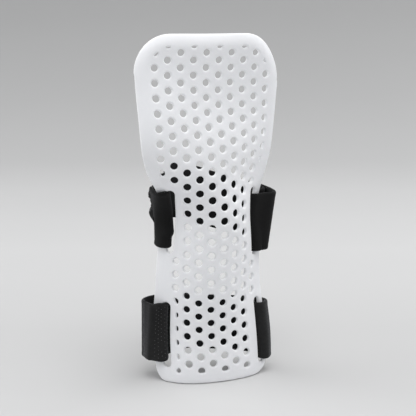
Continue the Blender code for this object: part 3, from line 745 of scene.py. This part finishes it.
WRIST_TAB_ROUTE = (
    ("bent", -33.8, 19.9, 113.6, (0.020, 0.0040), (0.0, 0.0)),
    ("bent", -34.1, 23.6, 114.3, (0.035, 0.0075), (0.0, 0.0)),
    ("bent", -34.6, 29.2, 115.3, (0.045, 0.0085), (0.0, 0.0)),
    ("bent", -33.4, 35.2, 116.0, (0.045, 0.0070), (0.0, 0.0))) + WRIST_TAB_ROUTE[3:]
FOREARM_TAB_ROUTE = (("free", -41.2, 18.6, FL, 0.010), ("free", -42.2, 22.2, FL, 0.012),
                     ("free", -41.0, 26.4, FL, 0.008)) + FOREARM_TAB_ROUTE[2:]


def wrist_nudge(s, n, t):
    """The folded strap wanders across the left wrist slot."""
    if not (-31.9 < s < -24.0 and n > -3.2):
        return 0.0
    return float(np.interp(t, (87.3, 90.3, 94.0, 96.0, 97.2, 99.3, 102.4, 105.5, 108.5, 111.4, 117.0, 126.0),
                           (-0.85, -1.1, -1.4, -0.3, 0.1, -0.5, -1.1, -1.4, -1.5, -1.4, -1.1, -0.8)))


def tab_wave(v, y):
    """The wrist tab's crumpled start, mm of x at mm up its width; it lies flat further back."""
    return float(np.clip((45.0 - y) / 9.0, 0.0, 1.0) * np.interp(v, (-12.0, -10.8, -8.9, -7.0, -5.1, -3.3, -0.8, 1.7, 3.7, 6.1, 7.9, 10.2, 12.0),
                           (0.8, -0.2, -1.0, 0.1, 1.1, 0.9, 0.8, -0.2, -1.5, 0.4, 1.4, 1.8, 1.8)))


def forearm_nudge(s, n, t):
    if not (-33.5 < s < -28.0 and -3.0 < n < 3.0):
        return 0.0
    return float(np.interp(t, (13, 20, 30, 51), (-0.8, -0.7, -0.4, -0.1)))



class Ribbon:
    """A strap's middle surface as splines along its route, one for each row."""

    def __init__(self, route, width, rows=39, step=0.8, nudge=None, wave=None):
        self.width = width
        self.v = np.linspace(-width / 2, width / 2, rows)
        grid = []
        for v in self.v:
            pts = []
            for kind, *a in route:
                if kind == "bent":
                    x, y, h, (lx, bx), (ly, by) = a
                    x += wave(v, y) if wave is not None else 0.0
                    pts.append([x + lx * v + bx * v * v, y + ly * v + by * v * v, h + v])
                elif kind != "free":
                    s, n, h = a
                    t = h + v
                    if kind == "left_edge":
                        s += float(side(LEFT_EDGE, t))
                    if kind == "right_edge":
                        s += float(side(RIGHT_EDGE, t))
                    if kind in SLOTS:
                        (s0, t0), (s1, t1) = SLOTS[kind]
                        s += s0 + (s1 - s0) * (t - t0) / (t1 - t0)
                    if nudge is not None:
                        s += nudge(s, n, t)
                    p, out = bare_surface(s, t), outward(s, t)
                    level = out[:2] / (out[0] ** 2 + out[1] ** 2)
                    pts.append([p[0] + level[0] * n, p[1] + level[1] * n, h + v])
                else:
                    x, y, h, lean = a
                    pts.append([x + lean * v, y, h + v])
            grid.append(np.array(pts))
        grid = np.array(grid)
        mid = grid[len(grid) // 2]
        chord = np.concatenate([[0], np.cumsum(np.linalg.norm(np.diff(mid, axis=0), axis=1))])
        self.length = chord[-1]
        n = max(4, int(round(self.length / step)))
        self.q = np.linspace(0, self.length, n + 1)
        g = []
        for row in grid:
            g.append(spline(chord, row, spline_moments(chord, row, False), self.q))
        self.grid = np.array(g)                      # rows x cols x 3
        mid = self.grid[rows // 2]
        self.u = np.concatenate([[0], np.cumsum(np.linalg.norm(np.diff(mid, axis=0), axis=1))])
        self.true_length = self.u[-1]
        du, dv = np.gradient(self.grid, axis=1), np.gradient(self.grid, axis=0)
        n = np.cross(du, dv)
        self.n = n / np.linalg.norm(n, axis=-1, keepdims=True)

    def at(self, v, c):
        """Middle-surface point and normal at width v (mm) and fractional column c (arrays)."""
        v, c = np.broadcast_arrays(np.asarray(v, float), np.asarray(c, float))
        fr = np.clip((v + self.width / 2) / self.width * (len(self.v) - 1), 0, len(self.v) - 1.001)
        fc = np.clip(c, 0, self.grid.shape[1] - 1.001)
        r0, c0 = fr.astype(int), fc.astype(int)
        a, b = (fr - r0)[..., None], (fc - c0)[..., None]

        def mix(g):
            return ((g[r0, c0] * (1 - b) + g[r0, c0 + 1] * b) * (1 - a)
                    + (g[r0 + 1, c0] * (1 - b) + g[r0 + 1, c0 + 1] * b) * a)
        n = mix(self.n)
        return mix(self.grid), n / np.linalg.norm(n, axis=-1, keepdims=True)

    def column(self, x, y, after=0.0):
        row = self.grid[len(self.v) // 2]
        d = np.hypot(row[:, 0] - x, row[:, 1] - y)
        d[self.u < after] = 99.0
        return int(np.argmin(d))


def ribbon_object(name, rib, thickness, mat, seed=1, edge_wander=0.12, ragged=None, selvage=0.12, nap=0.05, end_wander=0.35):
    """A closed ribbon with round selvages, a faint nap and uneven cut ends.

    ragged(u, sign) gives extra wander of the edge, mm, at length u (mm) for the upper
    (+1) or lower (-1) selvage.
    """
    half_w, half_t = rib.width / 2, thickness / 2
    flat = half_w - half_t
    across = np.linspace(-flat, flat, 46)
    ang = np.linspace(math.pi / 2, -math.pi / 2, 9)[1:-1]
    # loop round the section: upper face, upper selvage, lower face, lower selvage
    loop = [(w, 1.0, 0) for w in across]
    loop += [(flat + half_t * math.cos(a), math.sin(a), 1) for a in ang]
    loop += [(w, -1.0, 0) for w in across[::-1]]
    loop += [(-flat - half_t * math.cos(a), -math.sin(a), -1) for a in ang]
    w0 = np.array([a[0] for a in loop])
    hh = np.array([a[1] for a in loop]) * half_t
    cols = np.arange(rib.grid.shape[1])
    u = rib.u
    W, C = np.meshgrid(w0, cols, indexing="ij")
    U = u[None, :].repeat(len(w0), 0)
    sgn = np.sign(W)
    wander = value_noise(U, sgn * 40, seed, 5.0) * edge_wander + value_noise(U, sgn * 40, seed + 1, 0.9) * edge_wander * 0.5
    if ragged is not None:
        wander = wander + ragged(U, sgn, W)
    near_edge = np.clip((np.abs(W) - (half_w - 5.0)) / 5.0, 0, 1) ** 1.5
    Wd = np.clip(W + sgn * wander * near_edge, -half_w, half_w)
    P, N = rib.at(Wd, C.astype(float))
    # the selvage is a touch thicker, the face has a soft nap
    sel = np.exp(-((half_w - np.abs(W) - 1.6) / 0.9) ** 2) * selvage
    H = hh[:, None] * (1 + 0.0 * U)
    face = (np.abs(hh)[:, None] >= half_t * 0.98)
    H = H + np.sign(hh)[:, None] * (sel + nap * value_noise(U, W + hh[:, None] * 40, seed + 2, 0.8)) * face
    P = P + N * H[..., None]
    # where the clip above held the point, let the selvage stand proud by its own radius
    over = (np.abs(W + sgn * wander * near_edge) - half_w).clip(0, 2.0)
    row_dir = np.zeros_like(P)
    d = rib.grid[-1] - rib.grid[0]
    d = d / np.linalg.norm(d, axis=-1, keepdims=True)
    P = P + d[None] * (sgn * over)[..., None]
    # uneven cut ends
    tang = np.gradient(rib.grid[len(rib.v) // 2], axis=0)
    tang /= np.linalg.norm(tang, axis=1, keepdims=True)
    for end, sg in ((0, -1), (len(cols) - 1, 1)):
        wob = value_noise(w0, w0 * 0 + sg * 9, seed + 5, 1.3) * end_wander
        P[:, end] += tang[end][None] * (sg * wob)[:, None]
    k, n = len(w0), len(cols)
    verts = P.transpose(1, 0, 2).reshape(-1, 3) * MM
    uvs = np.stack([U.T.ravel(), (W + np.where(hh[:, None] < 0, 61.0, 0.0)).T.ravel()], 1)
    faces = []
    for c in range(n - 1):
        for i in range(k):
            j = (i + 1) % k
            faces.append((c * k + i, c * k + j, (c + 1) * k + j, (c + 1) * k + i))
    # caps: pairs of points across the thickness
    m = len(across)
    up = list(range(m))
    low = list(range(m + len(ang), 2 * m + len(ang)))[::-1]
    for base, rev in ((0, False), ((n - 1) * k, True)):
        for i in range(m - 1):
            q = (base + up[i], base + low[i], base + low[i + 1], base + up[i + 1])
            faces.append(q[::-1] if not rev else q)
        side1 = [base + up[-1]] + [base + m + i for i in range(len(ang))] + [base + low[-1]]
        side2 = [base + low[0]] + [base + 2 * m + len(ang) + i for i in range(len(ang))] + [base + up[0]]
        faces.append(tuple(side1) if not rev else tuple(side1[::-1]))
        faces.append(tuple(side2) if not rev else tuple(side2[::-1]))
    bm = bmesh.new()
    bv = [bm.verts.new(v) for v in verts]
    uvl = bm.loops.layers.uv.new("UVMap")
    for f in faces:
        try:
            face_ = bm.faces.new([bv[i] for i in f])
        except ValueError:
            continue
        for l, i in zip(face_.loops, f):
            l[uvl].uv = uvs[i]
    bmesh.ops.recalc_face_normals(bm, faces=bm.faces)
    me = bpy.data.meshes.new(name)
    bm.to_mesh(me)
    bm.free()
    me.materials.append(mat)
    me.shade_smooth()
    ob = bpy.data.objects.new(name, me)
    bpy.context.scene.collection.objects.link(ob)
    return ob


def stitch_mesh(name, rib, path, lift, mat, stitch=2.3, gap=0.55, r=0.32):
    """Separate stitches along a path of (v, column) points laid on a ribbon's face."""
    pts = []
    for (v0, c0), (v1, c1) in zip(path[:-1], path[1:]):
        m = 60
        for i in range(m):
            pts.append((v0 + (v1 - v0) * i / m, c0 + (c1 - c0) * i / m))
    pts.append(path[-1])
    pts = np.array(pts)
    P, N = rib.at(pts[:, 0], pts[:, 1])
    P = P + N * lift
    d = np.concatenate([[0], np.cumsum(np.linalg.norm(np.diff(P, axis=0), axis=1))])
    verts, faces = [], []
    x = 0.3
    while x + stitch < d[-1]:
        q = np.linspace(x, x + stitch, 7)
        c = np.stack([np.interp(q, d, P[:, i]) for i in range(3)], 1)
        nn = np.stack([np.interp(q, d, N[:, i]) for i in range(3)], 1)
        nn /= np.linalg.norm(nn, axis=1, keepdims=True)
        tg = np.gradient(c, axis=0)
        tg /= np.linalg.norm(tg, axis=1, keepdims=True)
        sd = np.cross(tg, nn)
        rad = r * np.sqrt(np.clip(1 - np.linspace(-0.93, 0.93, 7) ** 4, 0.05, 1))
        dip = -0.35 * np.abs(np.linspace(-1, 1, 7)) ** 3 * math.copysign(1, lift)
        base = len(verts)
        for i in range(7):
            for a in np.arange(8) * math.pi / 4:
                verts.append(c[i] + nn[i] * (dip[i] + rad[i] * math.sin(a)) + sd[i] * rad[i] * 1.15 * math.cos(a))
        for i in range(6):
            for a in range(8):
                b = (a + 1) % 8
                faces.append((base + i * 8 + a, base + i * 8 + b, base + (i + 1) * 8 + b, base + (i + 1) * 8 + a))
        faces.append(tuple(base + a for a in range(8))[::-1])
        faces.append(tuple(base + 48 + a for a in range(8)))
        x += stitch + gap
    bm = bmesh.new()
    bv = [bm.verts.new(Vector(v) * MM) for v in verts]
    for f in faces:
        bm.faces.new([bv[i] for i in f])
    bmesh.ops.recalc_face_normals(bm, faces=bm.faces)
    me = bpy.data.meshes.new(name)
    bm.to_mesh(me)
    bm.free()
    me.materials.append(mat)
    me.shade_smooth()
    ob = bpy.data.objects.new(name, me)
    bpy.context.scene.collection.objects.link(ob)
    return ob


def hooks_mesh(name, rib, c0, c1, v0, v1, lift, mat, pitch=1.9, row=2.5, r=0.33, height=0.42, seed=3, drop=0.10):
    """Rows of small moulded hooks standing on a ribbon's face."""
    verts, faces = [], []
    k = 0
    local = np.random.default_rng(seed)
    u = rib.u
    for a, uu in enumerate(np.arange(u[c0], u[c1], pitch)):
        col = float(np.interp(uu, u, np.arange(len(u))))
        for v in np.arange(v0 + (row / 2 if a % 2 else 0.0), v1, row):
            if local.random() < drop:
                continue
            jv, jc = local.uniform(-0.12, 0.12), local.uniform(-0.12, 0.12)
            P, N = rib.at(v + jv, col + jc)
            Q, _ = rib.at(v + jv + 0.5, col + jc)
            e = Q - P
            e /= np.linalg.norm(e)
            f = np.cross(N, e)
            sg = math.copysign(1.0, lift)
            lean = e * local.uniform(0.05, 0.25)
            base = len(verts)
            for lv, (hh, rr) in enumerate(((-0.15, 1.0), (0.35, 0.8), (0.8, 0.75), (1.0, 0.4))):
                for g in range(6):
                    an = g * math.pi / 3
                    verts.append(P + N * (lift + sg * hh * height) + lean * max(hh, 0) + (e * math.cos(an) + f * math.sin(an)) * r * rr)
            for lv in range(3):
                for g in range(6):
                    g2 = (g + 1) % 6
                    faces.append((base + lv * 6 + g, base + lv * 6 + g2, base + (lv + 1) * 6 + g2, base + (lv + 1) * 6 + g))
            faces.append(tuple(base + g for g in range(6)))
            faces.append(tuple(base + 18 + g for g in range(6)))
    bm = bmesh.new()
    bv = [bm.verts.new(Vector(v) * MM) for v in verts]
    for f in faces:
        bm.faces.new([bv[i] for i in f])
    bmesh.ops.recalc_face_normals(bm, faces=bm.faces)
    me = bpy.data.meshes.new(name)
    bm.to_mesh(me)
    bm.free()
    me.materials.append(mat)
    me.shade_smooth()
    ob = bpy.data.objects.new(name, me)
    bpy.context.scene.collection.objects.link(ob)
    return ob


# ---------------------------------------------------------------- build: shell
pos, nor, faces = build_shell_mesh()
low = pos[:, 2] < 0.00002
shell = add_mesh("shell_body", pos, faces, shell_material(), normals=nor)
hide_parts("splint_shell")
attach(shell, "shell")

# ---------------------------------------------------------------- build: straps
LOOP = fabric_material("loop_webbing_upper", 0.0032, 0.0105, 0.95, 0.95, 0.00026, 0.05)
LOOP_LOW = fabric_material("loop_webbing_lower", 0.008, 0.022, 0.95, 1.1, 0.00024, 0.22, rib=1.9)
# painted shade: the wrist hook tape is coloured darker than the lower tape, standing for the shade it sits in
# behind the left strip
HOOK_PAINTED_SHADE = fabric_material("hook_tape_upper_painted_shade", 0.0024, 0.0078, 1.2, 1.2, 0.00018, 0.02)
HOOK_LOW = fabric_material("hook_tape_lower", 0.010, 0.028, 1.2, 1.2, 0.00018, 0.14, rib=1.5)
HOOK_TIPS = fabric_material("hook_tips_lower", 0.050, 0.085, 1.2, 1.2, 0.00005, 0.10)
THREAD = thread_material()

wrist = Ribbon(WRIST_ROUTE, STRAP_W, nudge=wrist_nudge)
forearm = Ribbon(FOREARM_ROUTE, STRAP_W, nudge=forearm_nudge)
wrist_tab = Ribbon(WRIST_TAB_ROUTE, TAB_W, rows=37, wave=tab_wave)
forearm_tab = Ribbon(FOREARM_TAB_ROUTE, STRAP_W, rows=39)


def put(ob, body, slot, *nodes):
    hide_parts(*nodes)
    if body is not None:
        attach(ob, body)
    return ob


def rag(amount, u0, u1, seed, upper=True):
    def f(U, sgn, W):
        on = np.clip((U - u0) / 3, 0, 1) * np.clip((u1 - U) / 3, 0, 1) * ((sgn > 0) if upper else (sgn < 0))
        n = value_noise(U, U * 0, seed, 1.1) * 0.6 + value_noise(U, U * 0, seed + 1, 2.7) * 0.7
        return on * n * amount
    return f


L = wrist.true_length
wrist_ob = put(ribbon_object("wrist_strap_webbing", wrist, STRAP_T, LOOP, seed=11,
                             ragged=rag(1.3, L - 30, L + 9, 21)), "shell", "strap", "wrist_strap")
forearm_ob = put(ribbon_object("forearm_strap_webbing", forearm, STRAP_T, LOOP_LOW, seed=31), "shell", "strap", "forearm_strap")
wrist_tab_ob = put(ribbon_object("wrist_hook_tape", wrist_tab, TAB_T, HOOK_PAINTED_SHADE, seed=41, edge_wander=0.9), None, "hook", "wrist_hook_tab")
forearm_tab_ob = put(ribbon_object("forearm_hook_tape", forearm_tab, TAB_T, HOOK_LOW, seed=51), None, "hook", "forearm_hook_tab")
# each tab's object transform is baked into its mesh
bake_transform(wrist_tab_ob)
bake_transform(forearm_tab_ob)


def box_path(rib, c0, c1, inset):
    h = rib.width / 2 - inset
    return [(-h, c0), (h, c0), (h, c1), (-h, c1), (-h, c0), (h, c1)]


def facing_away(rib, c, lift):
    P, N = rib.at(0.0, float(c))
    a = np.linalg.norm((P + N * 2)[:2] - np.array([2.0, 14.0]))
    b = np.linalg.norm((P - N * 2)[:2] - np.array([2.0, 14.0]))
    return lift if a > b else -lift


def seam(name, rib, c0, c1, t, inset, body, node):
    c0, c1 = sorted((c0, c1))
    ob = stitch_mesh(name, rib, box_path(rib, c0, c1, inset), facing_away(rib, (c0 + c1) / 2, t / 2 + 0.12), THREAD)
    return put(ob, body, "thread", node)


seam("wrist_anchor_thread", wrist, wrist.column(42.2, 32.6, 60), wrist.column(37.4, 43.6, 60), STRAP_T, 5.5, "shell", "wrist_anchor_stitching")
seam("forearm_anchor_thread", forearm, forearm.column(29.6, 27.8, 45), forearm.column(19.4, 30.9, 45), STRAP_T, 5.5, "shell", "forearm_anchor_stitching")
seam("wrist_tab_thread", wrist_tab, wrist_tab.column(-34.6, 28.2), wrist_tab.column(-31.9, 38.9), TAB_T, 4.5, "wrist_tab", "wrist_tab_stitching")
seam("forearm_tab_thread", forearm_tab, forearm_tab.column(-40.5, 27.6), forearm_tab.column(-30.4, 32.7), TAB_T, 6.0, "forearm_tab", "forearm_tab_stitching")

# hooks on the lower strap's outer face, where its end is folded back round the strip
c_in, c_out = forearm.column(-24.5, 15.0, forearm.true_length - 30), forearm.column(-36.9, 12.3, forearm.true_length - 30)
hk = hooks_mesh("forearm_strap_hooks", forearm, min(c_in, c_out), max(c_in, c_out), -16.5, 16.6,
                facing_away(forearm, (c_in + c_out) / 2, STRAP_T / 2), HOOK_TIPS)
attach(hk, "shell")

# ---------------------------------------------------------------- floor, light, camera
def stage_material():
    k = Nodes("studio_paper_painted_shade")
    tc = k.new("TexCoord").outputs["Object"]
    sep = k.new("SeparateXYZ")
    k.link(tc, sep.inputs[0])
    g = k.math("MULTIPLY", k.math("ADD", sep.outputs[1], 0.3), 1 / 1.4)
    n = k.noise(tc, 6.0, 2.0)
    fine = k.noise(tc, 900.0, 3.0)
    g = k.math("ADD", g, k.math("MULTIPLY", k.math("SUBTRACT", n, 0.5), 0.02))
    g = k.math("ADD", g, k.math("MULTIPLY", k.math("SUBTRACT", fine, 0.5), 0.015))
    # painted light and shade: the ramp sets the paper's brightness along y, darker towards the back and up the
    # wall, for the light falling off; the noise is the paper's own tone
    k.link(k.ramp(g, STAGE_PAINTED_SHADE_STOPS), k.b.inputs["Base Color"])
    k.b.inputs["Roughness"].default_value = 0.9
    k.b.inputs["Specular IOR Level"].default_value = 0.1
    k.link(k.bump(fine, 0.0001, 0.3), k.b.inputs["Normal"])
    return k.m


# painted light and shade: ramp stops for the paper's brightness from front to back, with a lighter band mid-way and
# darkening up the wall
STAGE_PAINTED_SHADE_STOPS = [(k, grey(v * 1.03)) for k, v in (
    (0.0, 0.55), (0.194, 0.541), (0.25, 0.52), (0.29, 0.512), (0.383, 0.545), (0.46, 0.560), (0.529, 0.537), (0.593, 0.499),
    (0.646, 0.434), (0.70, 0.411), (0.749, 0.386), (0.793, 0.369), (0.834, 0.353), (0.866, 0.337), (1.0, 0.31))]


def build_stage():
    """A sheet of paper: flat floor, then a wide curve up into a wall."""
    prof = [(-2.2, 0.0), (-0.8, 0.0), (-0.2, 0.0), (0.3, 0.0)]
    r = 0.9
    for i in range(1, 25):
        a = i / 24 * math.pi / 2
        prof.append((0.3 + r * math.sin(a), r - r * math.cos(a)))
    prof.append((0.3 + r, 2.6))
    verts, faces = [], []
    xs = np.linspace(-2.6, 2.6, 9)
    for y, z in prof:
        for x in xs:
            verts.append((x, y, z - 0.0002))
    k = len(xs)
    for i in range(len(prof) - 1):
        for j in range(k - 1):
            faces.append((i * k + j, i * k + j + 1, (i + 1) * k + j + 1, (i + 1) * k + j))
    ob = add_mesh("paper_sweep", verts, faces, stage_material())
    ob.rotation_euler = (0, 0, math.radians(-12.8))
    return ob


sweep = build_stage()


def area_light(name, loc, target, size, power, colour=(1, 1, 1)):
    d = bpy.data.lights.new(name, "AREA")
    d.shape = "RECTANGLE"
    d.size, d.size_y = size
    d.energy = power
    d.color = colour
    o = bpy.data.objects.new(name, d)
    o.location = loc
    o.rotation_euler = (Vector(target) - Vector(loc)).to_track_quat("-Z", "Y").to_euler()
    bpy.context.scene.collection.objects.link(o)
    return o


area_light("top_front_soft", (0.1, -0.35, 1.3), (0, 0, 0.1), (1.2, 0.8), 9.0)
area_light("top_soft", (0.0, 0.15, 1.3), (0, 0, 0.1), (1.2, 1.0), 2.6)
area_light("side_right", (0.9, 0.25, 0.7), (0, 0, 0.1), (0.9, 0.9), 3.75)
area_light("side_left", (-0.9, 0.35, 0.7), (0, 0, 0.1), (0.9, 0.9), 5.0)

world = bpy.data.worlds.new("studio")
bpy.context.scene.world = world
world.use_nodes = True
bg = world.node_tree.nodes["Background"]
bg.inputs["Color"].default_value = (0.97, 0.98, 1.0, 1)
bg.inputs["Strength"].default_value = 0.584

bpy.context.scene.view_settings.view_transform = "Standard"
bpy.context.scene.view_settings.look = "None"

cam_data = bpy.data.cameras.new("camera")
cam_data.lens = 78.09
cam_data.sensor_width = 36.0
cam_data.clip_start, cam_data.clip_end = 0.02, 20.0
cam = bpy.data.objects.new("camera", cam_data)
cam.location = (-0.124846, -0.532755, 0.226626)
aim = Vector((-0.003909, 0.0, 0.114677))
cam.rotation_mode = "QUATERNION"
cam.rotation_quaternion = (aim - Vector(cam.location)).to_track_quat("-Z", "Y")
bpy.context.scene.collection.objects.link(cam)
bpy.context.scene.camera = cam

bpy.context.view_layer.update()
